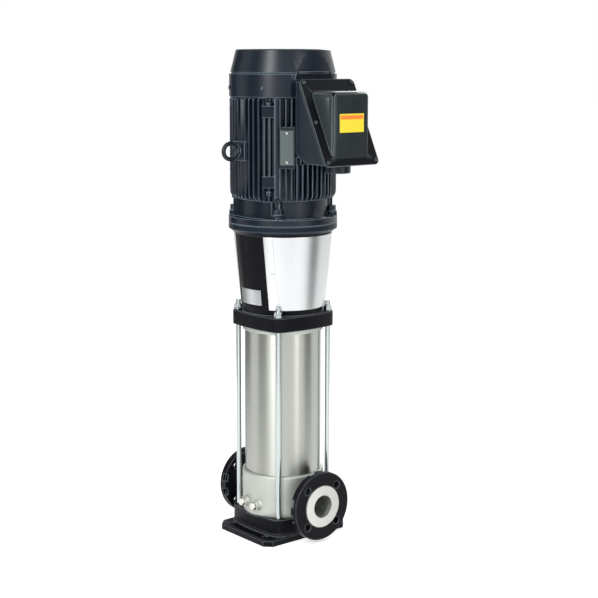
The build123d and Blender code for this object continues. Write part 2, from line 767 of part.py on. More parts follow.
def box_cavity():
    slope = run[0] / run[1]
    top, low = box_top - box_wall, box_floor + box_wall
    return prism(box_half - box_wall, (box_back + box_wall, low + 22), (box_back + box_wall, top),
                 (joint_top[0] + slope * (top - joint_top[1]) + 6, top), (joint_foot[0] - 4, low + 14),
                 (joint_foot[0] - 14, low), (box_back + 50, low))


def terminal_box_base():
    """Cast wedge on the motor side, open along its slanted joint, with a flat rim."""
    shell = prism(box_half, (box_back, box_floor + 24), (box_back, box_top),
                  (joint_top[0] + 1, box_top), (joint_foot[0] - 3, box_floor + 2), (joint_foot[0] - 8, box_floor),
                  (box_back + 46, box_floor), (box_back + 20, box_floor + 7))
    shell -= lid * Pos(0, 0, 30) * Box(300, 400, 60)
    body = shell + lid_sheet_at(-rim_thickness, rim_thickness, 4)
    body -= block((90, -100, box_floor), (box_back, 100, box_top + 20))
    body -= box_cavity()
    body -= disc(conduit_bore, box_floor - 1, box_floor + 20, conduit_x)
    for hole in screw_holes(-12, 1):
        body -= hole
    return body


def terminal_box_gasket():
    ring = lid_sheet_at(0, gasket, 8) - box_cavity() - cover_hollow()
    for hole in screw_holes(-1, gasket + 1):
        ring -= hole
    return ring


def cover_hollow():
    sheet = lid_sheet
    return prism(cover_half - sheet, (joint_top[0] - 20, cover_top - sheet), (cover_front - sheet, cover_top - sheet),
                 (cover_front - sheet, box_floor + 24), (joint_foot[0] - 40, box_floor + 24))


def terminal_box_cover():
    """Pressed wedge cover with rounded edges on a flat screwed rim."""
    wedge = prism(cover_half, (joint_top[0] - 30, cover_top), (cover_front, cover_top),
                  (cover_front, box_floor - 30), (joint_top[0] - 30, box_floor - 30))
    front = wedge.faces().sort_by(Axis.X)[-1]
    top = wedge.faces().sort_by(Axis.Z)[-1]
    bottom = wedge.faces().sort_by(Axis.Z)[0]
    soft = [edge for edge in front.edges() + top.edges()
            if edge not in bottom.edges() and edge not in wedge.faces().sort_by(Axis.X)[0].edges()]
    wedge = fillet(soft, cover_round)
    rim = gasket + lid_sheet
    wedge -= lid * Pos(0, 0, gasket - 150) * Box(500, 700, 300)
    body = wedge + lid_sheet_at(gasket, lid_sheet)
    body -= cover_hollow() - lid * Pos(0, 0, gasket - 160) * Box(500, 700, 300)
    for hole in screw_holes(gasket - 1, rim + 1):
        body -= hole
    return body


def terminal_box_screws():
    rim = gasket + lid_sheet
    screws = []
    for x, y in box_screw_places():
        place = lid * Pos(x, y, rim)
        screws.append(place * (Cylinder(box_screw_radius, box_screw_head, align=UP)
                               + Pos(0, 0, -14) * Cylinder(2.5, 14, align=UP)))
    return screws


def terminal_board():
    """Insulating board with six studs, on the back wall of the box."""
    low = box_back + box_wall
    board = block((low, -38, 960), (low + 12, 38, 1030))
    for y in (-24, 0, 24):
        for z in (978, 1012):
            board += rod_along((low + 10, y, z), (1, 0, 0), 3, 16)
    return board


def conduit_boss():
    """Round screwed cable entry under the box."""
    ring = tube(conduit_radius, conduit_bore, box_floor - conduit_drop, box_floor, conduit_x)
    return chamfer(ring.faces().sort_by(Axis.Z)[0].edges(), 1.5)


def cover_label():
    low = label_middle - label_height / 2
    return block((cover_front, -label_half, low), (cover_front + thin_plate, label_half, low + label_height))


def motor_nameplate():
    half = name_width / 2
    sheet = block((name_pad_radius, -half, name_low), (name_pad_radius + thin_plate, half, name_low + name_height))
    for rivet in nameplate_rivets(seat_gap):
        sheet -= Rot(0, 0, -name_angle) * rivet
    return Rot(0, 0, name_angle) * sheet


def nameplate_rivets(clearance=0.0):
    rivets = []
    for z in (name_low + 6, name_low + name_height - 6):
        stem = rod_along((name_pad_radius, 0, z), (1, 0, 0), 1.5 + clearance, thin_plate)
        if not clearance:
            stem += rod_along((name_pad_radius + thin_plate, 0, z), (1, 0, 0), 2.8, 0.9)
        rivets.append(Rot(0, 0, name_angle) * stem)
    return rivets


# ---------------------------------------------------------------- write every node
save("base_plate", base_plate())
save("inlet_outlet_casing", inlet_outlet_casing())
save("drain_plugs", *[drain_plug(x) for x in drain_places])
save("drain_plug_washers", *[drain_washer(x) for x in drain_places])
save("suction_flange", loose_flange(-1))
save("discharge_flange", loose_flange(1))
save("outer_sleeve", tube(sleeve_radius, sleeve_radius - sleeve_wall, sleeve_foot, sleeve_top))
save("sleeve_seal_rings", *[tube(sleeve_radius - sleeve_wall, sleeve_radius - sleeve_wall - 3, z, z + 3)
                            for z in (ledge_top, sleeve_top - 3)])
rods, rod_washers, rod_nuts = tie_rods()
save("tie_rods", *rods)
save("tie_rod_washers", *rod_washers)
save("tie_rod_nuts", *rod_nuts)
save("stage_chambers", *[stage_chamber(number) for number in range(stage_count)])
save("impellers", *[impeller(number) for number in range(stage_count)])
save("bottom_bearing", bottom_bearing())
save("stage_clamp_ring", clamp_ring())
save("pump_shaft", disc(shaft_radius, shaft_foot, shaft_end))
save("pump_head", pump_head())
save("seal_seat", tube(seal_radius, shaft_radius + 1.5, head_top + 11, head_top + 21))
save("seal_ring", tube(seal_radius - 3, shaft_radius + slip, head_top + 21 + running, head_top + 36))
save("motor_stool", motor_stool())
save("coupling_guard_front", guard(1))
save("coupling_guard_rear", guard(-1))
save("guard_screws", *guard_screws())
save("stool_plate", stool_plate())
halves, coupling_screws = coupling()
save("coupling_halves", halves)
save("coupling_screws", *coupling_screws)
save("drive_end_shield", drive_end_shield())
save("motor_flange_bolts", *motor_flange_bolts())
save("bearing_outer_rings", *[bearing(low, "outer") for low in bearing_places])
save("bearing_inner_rings", *[bearing(low, "inner") for low in bearing_places])
save("stator_frame", stator_frame())
save("shield_screws", *shield_screws())
save("stator_core", tube(frame_bore - seat_gap, core_bore, core_low, core_high))
save("stator_windings", *[tube(frame_bore - 8, core_bore + 6, z, z + winding_length)
                          for z in (core_low - winding_length, core_high)])
save("rotor_core", tube(core_bore - air_gap, 26 + slip, core_low, core_high))
save("motor_shaft", motor_shaft())
save("fan_end_shield", fan_end_shield())
save("cooling_fan", cooling_fan())
save("fan_cowl", fan_cowl())
save("cowl_screws", *cowl_screws())
save("rain_canopy", rain_canopy())
save("canopy_posts", *around(disc(5, band_high, canopy_high - band_sheet, post_place), corners))
save("eye_bolts", eye_bolt(-1), eye_bolt(1))
save("motor_nameplate", motor_nameplate())
save("nameplate_rivets", *nameplate_rivets())
save("terminal_box_base", terminal_box_base())
save("terminal_box_gasket", terminal_box_gasket())
save("terminal_box_cover", terminal_box_cover())
save("terminal_box_screws", *terminal_box_screws())
save("terminal_board", terminal_board())
save("conduit_boss", conduit_boss())
save("cover_label", cover_label())
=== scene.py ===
# %% [markdown]
# A vertical multistage pump, dressed for a studio picture.
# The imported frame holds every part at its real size, in metres, with the shaft on Z.
# It is loaded first, because each later step takes its places from it.

# %% Load the frame
import bmesh
import bpy
import json
from math import cos, pi, radians, sin, sqrt
from mathutils import Matrix, Vector

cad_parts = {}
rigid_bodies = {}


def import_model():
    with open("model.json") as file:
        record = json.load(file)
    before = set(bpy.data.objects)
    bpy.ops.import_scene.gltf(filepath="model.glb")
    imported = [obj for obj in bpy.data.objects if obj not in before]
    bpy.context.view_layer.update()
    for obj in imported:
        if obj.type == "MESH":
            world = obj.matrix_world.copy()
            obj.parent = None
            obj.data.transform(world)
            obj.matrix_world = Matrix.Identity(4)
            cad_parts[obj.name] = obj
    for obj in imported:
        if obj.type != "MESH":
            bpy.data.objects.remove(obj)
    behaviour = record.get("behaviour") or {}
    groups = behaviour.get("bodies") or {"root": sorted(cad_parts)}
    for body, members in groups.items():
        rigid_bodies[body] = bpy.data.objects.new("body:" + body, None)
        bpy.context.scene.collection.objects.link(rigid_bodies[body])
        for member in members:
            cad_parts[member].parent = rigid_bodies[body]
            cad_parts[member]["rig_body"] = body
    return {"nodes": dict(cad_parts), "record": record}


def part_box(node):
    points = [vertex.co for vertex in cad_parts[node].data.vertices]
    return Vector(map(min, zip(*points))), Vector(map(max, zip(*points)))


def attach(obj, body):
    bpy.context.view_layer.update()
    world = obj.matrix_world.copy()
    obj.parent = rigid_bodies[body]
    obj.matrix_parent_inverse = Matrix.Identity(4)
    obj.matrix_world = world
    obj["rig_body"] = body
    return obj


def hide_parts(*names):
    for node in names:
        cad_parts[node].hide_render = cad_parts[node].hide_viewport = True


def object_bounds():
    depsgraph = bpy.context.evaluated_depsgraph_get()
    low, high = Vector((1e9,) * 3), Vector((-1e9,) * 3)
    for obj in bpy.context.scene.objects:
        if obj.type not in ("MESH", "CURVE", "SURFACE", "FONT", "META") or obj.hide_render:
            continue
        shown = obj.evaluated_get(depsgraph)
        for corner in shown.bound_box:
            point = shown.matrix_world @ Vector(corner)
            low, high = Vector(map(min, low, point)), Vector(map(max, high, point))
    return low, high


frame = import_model()
nodes = frame["nodes"]
slot_of = {part["node"]: part["material_slot"] for part in frame["record"]["subparts"]}
cad_low, cad_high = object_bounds()
mm = 0.001
up = Vector((0, 0, 1))

# %% [markdown]
# Shader nodes are laid down by one small helper.
# A keyword with a capital letter names a socket, and any other keyword a setting of the node.
# A link is made wherever the value given is itself a socket.

# %% Helper for shader and geometry nodes
def add(tree, kind, **settings):
    made = tree.nodes.new(kind)
    for key, value in settings.items():
        if key[0].isupper():
            socket = made.inputs[key.replace("_", " ")]
            if isinstance(value, bpy.types.NodeSocket):
                tree.links.new(value, socket)
            else:
                socket.default_value = value
        else:
            setattr(made, key, value)
    return made


def math(tree, operation, first, second=0.0, clamp=False):
    made = tree.nodes.new("ShaderNodeMath")
    made.operation = operation
    made.use_clamp = clamp
    for place, value in enumerate((first, second)):
        if isinstance(value, bpy.types.NodeSocket):
            tree.links.new(value, made.inputs[place])
        else:
            made.inputs[place].default_value = value
    return made.outputs[0]


def mixed(tree, amount, first, second):
    """Blend of two colours, each a socket or an (r, g, b)."""
    made = add(tree, "ShaderNodeMix", data_type="RGBA")
    for place, value in ((0, amount), (6, first), (7, second)):
        if isinstance(value, bpy.types.NodeSocket):
            tree.links.new(value, made.inputs[place])
        else:
            made.inputs[place].default_value = value if place == 0 else (*value, 1.0)
    return made.outputs[2]


# %% [markdown]
# Effects that several finishes share are shader groups.
# Each group puts out only masks, heights or normals, so that every material keeps its own shader.

# %% Start a shader group
def new_group(name, inputs, outputs):
    tree = bpy.data.node_groups.new(name, "ShaderNodeTree")
    for label, kind, value in inputs:
        socket = tree.interface.new_socket(label, in_out="INPUT", socket_type=kind)
        if value is not None:
            socket.default_value = value
    for label, kind in outputs:
        tree.interface.new_socket(label, in_out="OUTPUT", socket_type=kind)
    return tree, tree.nodes.new("NodeGroupInput").outputs, tree.nodes.new("NodeGroupOutput").inputs


FLOAT, VECTOR = "NodeSocketFloat", "NodeSocketVector"

# %% [markdown]
# Cast and pressed metal never has a knife edge.
# Rounding each corner with geometry is costly, so the shading normal is rounded instead.
# Where the rounded normal leaves the true one there is an edge, and that mask carries a painted highlight: a
# lighter colour along every edge.

# %% Group: soft edge and its painted highlight mask
edge_tree, given, out = new_group(
    "Soft Edge", [("Radius", FLOAT, 0.001)], [("Normal", VECTOR), ("Edge", FLOAT)])
rounded = add(edge_tree, "ShaderNodeBevel", samples=6, Radius=given["Radius"])
plain = add(edge_tree, "ShaderNodeNewGeometry")
turn = add(edge_tree, "ShaderNodeVectorMath", operation="DOT_PRODUCT")
edge_tree.links.new(rounded.outputs[0], turn.inputs[0])
edge_tree.links.new(plain.outputs["Normal"], turn.inputs[1])
away = math(edge_tree, "SUBTRACT", 1.0, turn.outputs["Value"])
edge_tree.links.new(math(edge_tree, "MULTIPLY", away, 5.0, clamp=True), out["Edge"])
edge_tree.links.new(rounded.outputs[0], out["Normal"])
print("group:", edge_tree.name)

# %% [markdown]
# Thick paint on a sand casting shows a fine orange peel with a few coarser lumps under it.
# Two noises of different grain add up to that height, and a slow one varies the tone.

# %% Group: cast skin
cast_tree, given, out = new_group("Cast Skin", [("Vector", VECTOR, None), ("Grain", FLOAT, 500.0)],
                                  [("Height", FLOAT), ("Tone", FLOAT)])
fine = add(cast_tree, "ShaderNodeTexNoise", Vector=given["Vector"], Scale=given["Grain"], Detail=3.0)
lumps = add(cast_tree, "ShaderNodeTexNoise", Vector=given["Vector"],
            Scale=math(cast_tree, "MULTIPLY", given["Grain"], 0.3), Detail=2.0)
slow = add(cast_tree, "ShaderNodeTexNoise", Vector=given["Vector"], Scale=14.0, Detail=4.0)
cast_tree.links.new(math(cast_tree, "ADD", fine.outputs[0], lumps.outputs[0]), out["Height"])
cast_tree.links.new(slow.outputs[0], out["Tone"])
print("group:", cast_tree.name)

# %% [markdown]
# Brushed sheet carries long scratches in the direction of the belt.
# Squeezing the coordinates across the scratches and stretching them along gives just that.

# %% Group: brushed lines
brush_tree, given, out = new_group(
    "Brushed Lines", [("Vector", VECTOR, None), ("Across", VECTOR, (2.0, 2.0, 900.0))],
    [("Height", FLOAT), ("Tone", FLOAT)])
stretched = add(brush_tree, "ShaderNodeVectorMath", operation="MULTIPLY")
brush_tree.links.new(given["Vector"], stretched.inputs[0])
brush_tree.links.new(given["Across"], stretched.inputs[1])
lines = add(brush_tree, "ShaderNodeTexNoise", Vector=stretched.outputs[0], Scale=1.0, Detail=6.0,
            Roughness=0.7)
broad = add(brush_tree, "ShaderNodeTexNoise", Vector=given["Vector"], Scale=9.0, Detail=2.0)
brush_tree.links.new(lines.outputs[0], out["Height"])
tone = math(brush_tree, "ADD", math(brush_tree, "MULTIPLY", lines.outputs[0], 0.6),
            math(brush_tree, "MULTIPLY", broad.outputs[0], 0.4))
brush_tree.links.new(tone, out["Tone"])
print("group:", brush_tree.name)

# %% [markdown]
# A little dust settles on surfaces that look up, in patches.
# The upward part of the normal, broken up by noise, is its mask.

# %% Group: settled dust
dust_tree, given, out = new_group("Settled Dust", [("Vector", VECTOR, None)], [("Dust", FLOAT)])
normal = add(dust_tree, "ShaderNodeNewGeometry").outputs["Normal"]
facing = add(dust_tree, "ShaderNodeSeparateXYZ", Vector=normal)
patch = add(dust_tree, "ShaderNodeTexNoise", Vector=given["Vector"], Scale=40.0, Detail=5.0)
upward = math(dust_tree, "MULTIPLY", facing.outputs["Z"], 1.0, clamp=True)
dust_tree.links.new(math(dust_tree, "MULTIPLY", upward, patch.outputs[0]), out["Dust"])
print("group:", dust_tree.name)


# %% [markdown]
# Every finish on the pump is one shader fed by these groups.
# The function below wires them, and what differs from finish to finish is given by name.
# Constants such as metallic and specular level sit on the shader's own sockets.

# %% One function that builds a finish
dust_grey = (0.45, 0.44, 0.42)


def finish(name, colour, edge_highlight_colour, rough, metal=0.0, spread=0.1, contrast=0.35, edge_radius=0.0012, edge_highlight_share=0.4,
           grain=None, brushed=None, relief=0.2, depth=0.0002, dust=0.1, layers=None, **constants):
    made = bpy.data.materials.new(name)
    made.use_nodes = True
    tree = made.node_tree
    shader = tree.nodes["Principled BSDF"]
    where = add(tree, "ShaderNodeTexCoord").outputs["Object"]
    edge = add(tree, "ShaderNodeGroup", node_tree=edge_tree, Radius=edge_radius)
    if brushed:
        skin = add(tree, "ShaderNodeGroup", node_tree=brush_tree, Vector=where, Across=brushed)
    else:
        skin = add(tree, "ShaderNodeGroup", node_tree=cast_tree, Vector=where, Grain=grain or 500.0)
    settled = add(tree, "ShaderNodeGroup", node_tree=dust_tree, Vector=where)
    dark = tuple(part * (1 - contrast) for part in colour)
    light = tuple(min(1.0, part * (1 + contrast)) for part in colour)
    paint = mixed(tree, skin.outputs["Tone"], dark, light)
    if layers:
        paint = layers(tree, where, paint)
    # Every edge is mixed towards a lighter colour: a painted highlight along the edges.
    paint = mixed(tree, math(tree, "MULTIPLY", edge.outputs["Edge"], edge_highlight_share), paint, edge_highlight_colour)
    paint = mixed(tree, math(tree, "MULTIPLY", settled.outputs["Dust"], dust), paint, dust_grey)
    tree.links.new(paint, shader.inputs["Base Color"])
    unevenness = math(tree, "MULTIPLY", skin.outputs["Tone"], spread)
    gloss = math(tree, "ADD", rough - spread / 2, unevenness, clamp=True)
    tree.links.new(gloss, shader.inputs["Roughness"])
    bump = add(tree, "ShaderNodeBump", Strength=relief, Distance=depth,
               Height=skin.outputs["Height"], Normal=edge.outputs["Normal"])
    tree.links.new(bump.outputs[0], shader.inputs["Normal"])
    shader.inputs["Metallic"].default_value = metal
    for socket, value in constants.items():
        shader.inputs[socket.replace("_", " ")].default_value = value
    return made


# %% [markdown]
# The two ports are machined where the gasket seals: pale, with fine turned grooves.
# Inside the bore the steel is painted duller and a little darker: painted shade.
# Both are found from the distance to the port axis, which runs along X at the port's height.

# %% Layers: port faces, and the label's band
port_height = (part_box("discharge_flange")[0].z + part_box("discharge_flange")[1].z) / 2
port_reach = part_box("inlet_outlet_casing")[1].x
face_depth, groove_pitch, groove_share = 0.2 * mm, 1.6 * mm, 0.35
bore_radius, bore_start = 27.4 * mm, 60 * mm
face_steel, groove_steel, bore_shade_steel = (0.62, 0.62, 0.59), (0.3, 0.3, 0.29), (0.42, 0.44, 0.39)
band_orange, band_head, band_foot, band_width = (0.87, 0.24, 0.03), 0.08, 0.30, 0.94


def port_layers(tree, where, paint):
    """Turned port faces, and painted shade in the bore behind them."""
    part = add(tree, "ShaderNodeSeparateXYZ", Vector=where).outputs
    rise = math(tree, "SUBTRACT", part["Z"], port_height)
    radius = math(tree, "SQRT", math(tree, "ADD", math(tree, "MULTIPLY", part["Y"], part["Y"]),
                                     math(tree, "MULTIPLY", rise, rise)))
    out_along = math(tree, "ABSOLUTE", part["X"])
    face = math(tree, "GREATER_THAN", out_along, port_reach - face_depth)
    groove = math(tree, "SINE", math(tree, "MULTIPLY", radius, 2 * pi / groove_pitch))
    cut = math(tree, "MULTIPLY", math(tree, "MULTIPLY", groove, face), groove_share, clamp=True)
    paint = mixed(tree, face, paint, face_steel)
    paint = mixed(tree, cut, paint, groove_steel)
    # Painted shade: the bore is coloured a little darker than the casing.
    inside = math(tree, "MULTIPLY", math(tree, "LESS_THAN", radius, bore_radius),
                  math(tree, "GREATER_THAN", out_along, bore_start))
    return mixed(tree, inside, paint, bore_shade_steel)


label_low, label_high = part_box("cover_label")


def label_layers(tree, where, paint):
    """An orange band near the head of the yellow label."""
    part = add(tree, "ShaderNodeSeparateXYZ", Vector=where).outputs
    height = label_high.z - label_low.z
    band = math(tree, "MULTIPLY", math(tree, "GREATER_THAN", part["Z"], label_high.z - band_foot * height),
                math(tree, "LESS_THAN", part["Z"], label_high.z - band_head * height))
    across = math(tree, "LESS_THAN", math(tree, "ABSOLUTE", part["Y"]), band_width * label_high.y)
    return mixed(tree, math(tree, "MULTIPLY", band, across), paint, band_orange)


print("ports at", round(port_height, 4), "m high; their faces", round(2 * port_reach, 4), "m apart")

# %% [markdown]
# The stool and the terminal box cover each wear two colours.
# The stool's top flange has the colour of the motor, down to a line at a fixed height.
# The cover's rim lies in the sloping plane of its joint, and its pan stands out of that plane.
# The distance from the plane therefore tells them apart.

# %% Layers: stool flange and cover rim
stool_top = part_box("motor_stool")[1].z
stool_flange = 19 * mm
flange_blue, rim_black = (0.008, 0.0145, 0.024), (0.0045, 0.0055, 0.0075)


def stool_layers(tree, where, paint):
    """The stool's top flange wears the motor's colour, and everything below stays black."""
    height = add(tree, "ShaderNodeSeparateXYZ", Vector=where).outputs["Z"]
    flange = math(tree, "GREATER_THAN", height, stool_top - stool_flange)
    return mixed(tree, flange, paint, flange_blue)


# The lower and upper end of the cover's joint, seen from the side.
lid_foot, lid_head = Vector((242.0 * mm, 0, 900.0 * mm)), Vector((150.0 * mm, 0, 1088.0 * mm))
lid_run = (lid_head - lid_foot).normalized()
lid_way = Vector((lid_run.z, 0, -lid_run.x))
rim_reach = 6 * mm


def lid_layers(tree, where, paint):
    """The flat rim of the cover is nearly black, and the pan that stands out of it is greener."""
    reach = add(tree, "ShaderNodeVectorMath", operation="DOT_PRODUCT")
    tree.links.new(where, reach.inputs[0])
    reach.inputs[1].default_value = lid_way
    rim = math(tree, "LESS_THAN", reach.outputs["Value"], lid_foot.dot(lid_way) + rim_reach)
    return mixed(tree, rim, paint, rim_black)


print("cover faces", tuple(round(part, 2) for part in lid_way))

# %% [markdown]
# The finishes, from the floor up.
# Paint is dielectric with a low specular level, so that it stays dark in a white room.
# Bare steel is metallic, and where it was turned or brushed it has lines.

# %% All the finishes, one for each slot of the record
# In each finish the second colour is the painted highlight along its edges.
turned_lines, sheet_lines, upright_lines = (3.0, 3.0, 1500.0), (6.0, 6.0, 900.0), (900.0, 900.0, 4.0)
finishes = {
    "cast_black": finish(
        "cast black paint", (0.0035, 0.0038, 0.0055), (0.22, 0.24, 0.28), 0.32, grain=520.0, relief=1.0,
        depth=0.0009, edge_radius=0.0035, edge_highlight_share=0.9, dust=0.0, layers=stool_layers, Specular_IOR_Level=0.08),
    "motor_paint": finish(
        "blue-black motor paint", (0.0045, 0.0092, 0.0165), (0.26, 0.35, 0.43), 0.34, grain=700.0,
        relief=0.3, edge_radius=0.002, edge_highlight_share=1.0, dust=0.0, Specular_IOR_Level=0.3),
    "cover_paint": finish(
        "grey-green cover paint", (0.022, 0.028, 0.031), (0.22, 0.26, 0.27), 0.32, grain=900.0, relief=0.12,
        edge_radius=0.002, edge_highlight_share=0.9, dust=0.0, layers=lid_layers, Specular_IOR_Level=0.2),
    "satin_steel": finish(
        "satin casing steel", (0.49, 0.51, 0.475), (0.7, 0.72, 0.68), 0.60, metal=1.0, grain=260.0,
        relief=0.14, contrast=0.16, edge_highlight_share=0.5, layers=port_layers),
    "brushed_sleeve": finish(
        "brushed sleeve steel", (0.40, 0.412, 0.38), (0.62, 0.64, 0.6), 0.34, metal=1.0,
        brushed=turned_lines, relief=0.10, contrast=0.14, Anisotropic=0.85, Anisotropic_Rotation=0.25),
    "guard_steel": finish(
        "bright guard sheet", (0.60, 0.615, 0.62), (0.85, 0.86, 0.86), 0.33, metal=1.0,
        brushed=upright_lines, relief=0.05, contrast=0.10, dust=0.0),
    "bright_steel": finish(
        "bright steel", (0.62, 0.61, 0.57), (0.85, 0.85, 0.82), 0.24, metal=1.0, grain=600.0, relief=0.06,
        contrast=0.12),
    "zinc_steel": finish(
        "zinc plated steel", (0.47, 0.52, 0.52), (0.8, 0.85, 0.85), 0.18, metal=1.0, brushed=turned_lines,
        relief=0.06, contrast=0.14),
    "plate_steel": finish(
        "blank stool plate", (0.55, 0.57, 0.58), (0.8, 0.8, 0.8), 0.35, metal=0.9, brushed=sheet_lines,
        relief=0.05, contrast=0.1),
    "nameplate": finish(
        "blank motor plate", (0.11, 0.135, 0.135), (0.35, 0.4, 0.4), 0.42, metal=0.5, brushed=upright_lines,
        relief=0.08, contrast=0.12),
    "label": finish(
        "blank yellow label", (0.86, 0.68, 0.035), (0.9, 0.75, 0.2), 0.42, grain=900.0, relief=0.03,
        contrast=0.05, edge_highlight_share=0.1, dust=0.03, layers=label_layers),
    "seal_rubber": finish(
        "seal rubber", (0.015, 0.015, 0.015), (0.05, 0.05, 0.05), 0.7, grain=800.0),
    "carbon": finish(
        "lapped seal face", (0.05, 0.05, 0.055), (0.1, 0.1, 0.1), 0.2, grain=900.0, relief=0.05),
    "grey_iron": finish(
        "grey iron", (0.22, 0.22, 0.22), (0.4, 0.4, 0.4), 0.5, metal=0.8, grain=500.0),
    "lamination": finish(
        "sheet pack", (0.2, 0.2, 0.21), (0.35, 0.35, 0.35), 0.45, metal=0.8, brushed=(2.0, 2.0, 2000.0),
        relief=0.4),
    "winding": finish(
        "varnished winding", (0.30, 0.09, 0.03), (0.45, 0.16, 0.06), 0.35, brushed=(600.0, 600.0, 300.0),
        relief=0.6),
    "fan_plastic": finish(
        "fan plastic", (0.03, 0.03, 0.03), (0.07, 0.07, 0.07), 0.5, grain=500.0),
    "board_plastic": finish(
        "terminal board", (0.25, 0.05, 0.03), (0.35, 0.1, 0.07), 0.45, grain=500.0),
}
for name, part in nodes.items():
    part.data.materials.clear()
    part.data.materials.append(finishes[slot_of[name]])
print("finishes:", len(finishes))

# %% [markdown]
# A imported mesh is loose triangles, so light would break on each of them.
# A merged copy with sharp edges kept by angle shades smoothly, and it stands for its node.
# Heavier castings and pressings also get a real bevel, which catches the light along the outline.


# %% Helper: finish a piece and hand it to the frame
weld_distance, flat_angle = 2e-5, radians(0.5)
crease_angle, bevel_angle = radians(32), radians(38)


def settle(piece, name, node=None):
    """Ride with the body of a node, take its finish, and stand for it when node is given."""
    piece.data.materials.clear()
    piece.data.materials.append(finishes[slot_of[name]])
    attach(piece, nodes[name]["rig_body"])
    if node:
        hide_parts(node)
    return piece


def merged_mesh(name):
    """Working copy of a node's mesh with its loose triangles joined."""
    shape = bmesh.new()
    shape.from_mesh(nodes[name].data)
    bmesh.ops.remove_doubles(shape, verts=shape.verts, dist=weld_distance)
    return shape


def dress(name, bevel=0.0):
    """Smooth merged copy of a node, with a bevel of the given width on its sharp edges."""
    shape = merged_mesh(name)
    bmesh.ops.dissolve_limit(shape, angle_limit=flat_angle, verts=shape.verts, edges=shape.edges)
    mesh = bpy.data.meshes.new(name + "_dressed")
    shape.to_mesh(mesh)
    shape.free()
    mesh.polygons.foreach_set("use_smooth", [True] * len(mesh.polygons))
    mesh.set_sharp_from_angle(angle=crease_angle)
    piece = bpy.data.objects.new(name + "_dressed", mesh)
    bpy.context.scene.collection.objects.link(piece)
    if bevel:
        cut = piece.modifiers.new("soft corners", "BEVEL")
        cut.width, cut.segments, cut.limit_method = bevel, 2, "ANGLE"
        cut.angle_limit, cut.harden_normals, cut.use_clamp_overlap = bevel_angle, True, True
        whole = piece.evaluated_get(bpy.context.evaluated_depsgraph_get())
        piece.data = bpy.data.meshes.new_from_object(whole)
        piece.modifiers.clear()
    return settle(piece, name, name)


# %% [markdown]
# Rolled sheet is round about the shaft, but the long thin triangles of its mesh only come near that.
# Polished steel shows that as streaks, most of all beside a screw hole.
# Each corner's normal is therefore turned to the true radius, and its upward part is kept for the taper.

# %% Helper: exact normals for rolled sheet
rolled = ("coupling_guard_front", "coupling_guard_rear", "outer_sleeve", "inlet_outlet_casing")
least_facing, least_flat = 0.97, 0.5


def round_normals(mesh):
    """Turn the normals of faces that look along the radius to the true radius at each corner."""
    normals = [corner.vector.copy() for corner in mesh.corner_normals]
    for face in mesh.polygons:
        out = Vector((face.center.x, face.center.y, 0)).normalized()
        flat = Vector((face.normal.x, face.normal.y, 0))
        if abs(flat.dot(out)) < least_facing * max(flat.length, least_flat):
            continue
        way = flat.length if flat.dot(out) > 0 else -flat.length
        for loop in face.loop_indices:
            corner = mesh.vertices[mesh.loops[loop].vertex_index].co
            normals[loop] = Vector((corner.x, corner.y, 0)).normalized() * way + up * face.normal.z
    mesh.normals_split_custom_set(normals)


# %% [markdown]
# Castings get a bevel, given here in millimetres, and thin sheet and turned pieces only smooth shading.
# The frame and its end shield have narrow fins, where a bevel would run into itself.

# %% Dress the castings, pressings and sheets
castings = {"base_plate": 1.2, "motor_stool": 1.0, "suction_flange": 0.8, "discharge_flange": 0.8,
            "terminal_box_base": 0.8, "fan_cowl": 0.5, "drive_end_shield": 0.0, "stator_frame": 0.0}
sheets = ("inlet_outlet_casing", "outer_sleeve", "pump_head", "coupling_guard_front", "coupling_guard_rear",
          "rain_canopy", "terminal_box_cover", "fan_end_shield", "tie_rods", "tie_rod_washers", "stool_plate",
          "conduit_boss", "eye_bolts", "motor_nameplate", "shield_screws", "drain_plug_washers")
for name, width in list(castings.items()) + [(name, 0.0) for name in sheets]:
    piece = dress(name, width * mm)
    if name in rolled:
        round_normals(piece.data)
    print(piece.name, len(piece.data.polygons), "faces")

# %% [markdown]
# Screws, nuts and bolts are small lathe work with a hexagon in it.
# A profile of rings is turned about Z, and each ring may be round or hexagonal.
# The same few lines so make a washer-headed bolt, a nut or a socket screw.


# %% Helper: turned fastener from rings
head_crease = radians(30)


def turned_part(name, rings, steps=24, hollow=False):
    """Closed mesh from rings of (radius, height, hexness), foot to top, or round a hollow."""
    shape = bmesh.new()
    loops = []
    for radius, height, hexness in rings:
        loop = []
        for step in range(steps):
            angle = 2 * pi * step / steps
            flat = cos(pi / 6) / cos(angle % (pi / 3) - pi / 6)
            reach = radius * (1 - hexness + hexness * flat)
            loop.append(shape.verts.new((reach * cos(angle), reach * sin(angle), height)))
        loops.append(loop)
    for low, high in list(zip(loops, loops[1:])) + [(loops[-1], loops[0])] * hollow:
        for step in range(steps):
            after = (step + 1) % steps
            shape.faces.new((low[step], low[after], high[after], high[step]))
    if not hollow:
        shape.faces.new(list(reversed(loops[0])))
        shape.faces.new(loops[-1])
    mesh = bpy.data.meshes.new(name)
    shape.to_mesh(mesh)
    shape.free()
    mesh.polygons.foreach_set("use_smooth", [True] * len(mesh.polygons))
    mesh.set_sharp_from_angle(angle=head_crease)
    part = bpy.data.objects.new(name, mesh)
    bpy.context.scene.collection.objects.link(part)
    return part


def socket_screw(radius, height):
    """Pan head with a round shoulder and a hexagon socket."""
    socket = 0.45 * radius
    return [(radius, 0, 0), (radius, 0.45 * height, 0), (0.93 * radius, 0.75 * height, 0),
            (0.76 * radius, 0.95 * height, 0), (0.6 * radius, height, 0), (socket * 1.15, height, 1),
            (socket, 0.9 * height, 1), (socket * 0.98, 0.4 * height, 1)]


